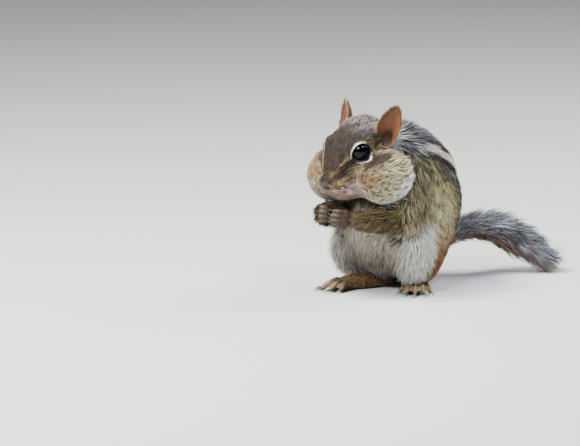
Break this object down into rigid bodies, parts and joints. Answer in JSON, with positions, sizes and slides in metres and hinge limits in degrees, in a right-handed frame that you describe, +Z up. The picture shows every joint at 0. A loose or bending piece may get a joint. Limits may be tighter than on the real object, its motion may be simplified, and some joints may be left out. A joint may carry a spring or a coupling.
{
  "type": "chipmunk",
  "caption": "Life-size striped chipmunk sitting up on its haunches with full cheek pouches, forepaws together under its chin and its bushy tail laid out behind.",
  "frame": {"origin": "on the floor, at the middle of the model's box", "axes": "+Z up, -Y the way the animal faces, +X its left side"},
  "size_m": [0.0762, 0.1258, 0.088],
  "materials": {
    "body_coat": "short dense fur, grizzled grey-brown back with dark and cream stripes, buff flanks, cream belly",
    "head_coat": "very short fur, brown crown, cream arcs round the eyes, dark stripes through them, pale cheeks and chin",
    "tail_coat": "long loose grizzled fur, grey-black with pale tips, browner beneath",
    "foot_coat": "very short tan fur over the hind feet and toes",
    "paw_coat": "very short brown fur over the fingers, bare pads inside",
    "ear": "thin warm brown skin with fine down",
    "eye": "wet glossy near-black",
    "claw": "horn, brown-grey, paler at the tip"
  },
  "bodies": {
    "root": {"claw_fore_left_1": "claw", "claw_fore_left_2": "claw", "claw_fore_left_3": "claw", "claw_fore_left_4": "claw", "claw_fore_right_1": "claw", "claw_fore_right_2": "claw", "claw_fore_right_3": "claw", "claw_fore_right_4": "claw", "claw_hind_left_1": "claw", "claw_hind_left_2": "claw", "claw_hind_left_3": "claw", "claw_hind_left_4": "claw", "claw_hind_left_5": "claw", "claw_hind_right_1": "claw", "claw_hind_right_2": "claw", "claw_hind_right_3": "claw", "claw_hind_right_4": "claw", "claw_hind_right_5": "claw", "ear_left": "ear", "ear_right": "ear", "eye_left": "eye", "eye_right": "eye", "foot_left": "foot_coat", "foot_right": "foot_coat", "forearm_left": "body_coat", "forearm_right": "body_coat", "head": "head_coat", "neck": "body_coat", "paw_left": "paw_coat", "paw_right": "paw_coat", "tail_1": "tail_coat", "tail_2": "tail_coat", "tail_3": "tail_coat", "thigh_left": "body_coat", "thigh_right": "body_coat", "torso": "body_coat", "upper_arm_left": "body_coat", "upper_arm_right": "body_coat"}
  },
  "joints": []
}
